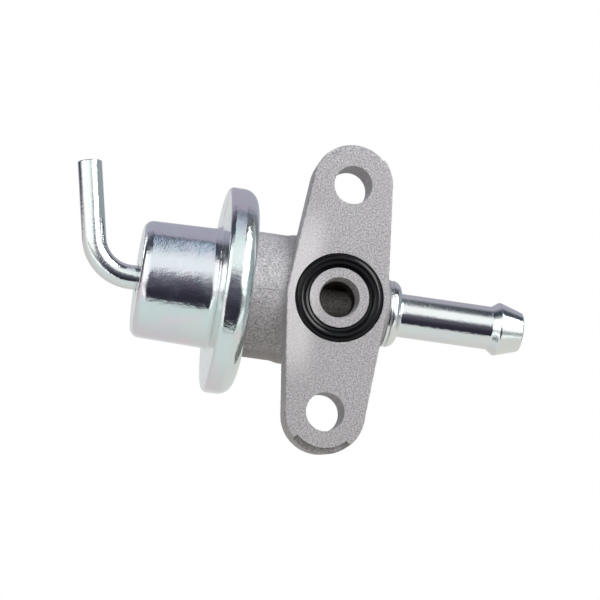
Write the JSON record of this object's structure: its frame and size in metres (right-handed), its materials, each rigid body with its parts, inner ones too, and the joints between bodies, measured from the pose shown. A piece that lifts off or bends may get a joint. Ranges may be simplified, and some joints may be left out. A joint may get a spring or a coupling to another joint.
{
  "type": "fuel pressure regulator",
  "caption": "Diaphragm fuel pressure regulator: bolted flange with a port and O-ring, drawn spring can with bent vacuum nipple, and barbed return pipe.",
  "frame": {"origin": "centre of the inlet port on the mounting face", "axes": "+X along the regulator's axis towards the return pipe, -Y out of the mounting face, +Z along the line of the bolt holes"},
  "size_m": [0.0862, 0.0382, 0.0566],
  "materials": {
    "cast_aluminium": "fine-blasted die casting",
    "zinc_plated_steel": "bright zinc plate, faintly iridescent",
    "steel": "plain turned or pressed steel",
    "brass": "turned brass",
    "rubber": "black moulded rubber"
  },
  "bodies": {
    "housing": {"body_casting": "cast_aluminium", "port_o_ring": "rubber", "spring_can": "zinc_plated_steel", "vacuum_nipple": "zinc_plated_steel", "upper_spring_seat": "steel", "main_spring": "steel", "diaphragm": "rubber", "valve_seat_tube": "steel", "return_pipe": "zinc_plated_steel"},
    "valve_unit": {"lower_spring_seat": "steel", "diaphragm_washer": "steel", "valve_holder": "brass", "ball_retainer": "brass", "ball_spring": "steel"},
    "ball": {"valve_ball": "steel"}
  },
  "joints": [
    {"name": "valve_lift", "type": "slide", "parent": "housing", "child": "valve_unit", "axis": [-1, 0, 0], "range_m": [0, 0.0008], "stiffness_N_per_m": 11000, "deforming": ["main_spring", "diaphragm"]},
    {"name": "ball_swivel", "type": "hinge", "parent": "valve_unit", "child": "ball", "pos_m": [-0.0137, 0.013, 0], "axis": [0, 1, 0], "range_deg": [-3, 3]}
  ]
}
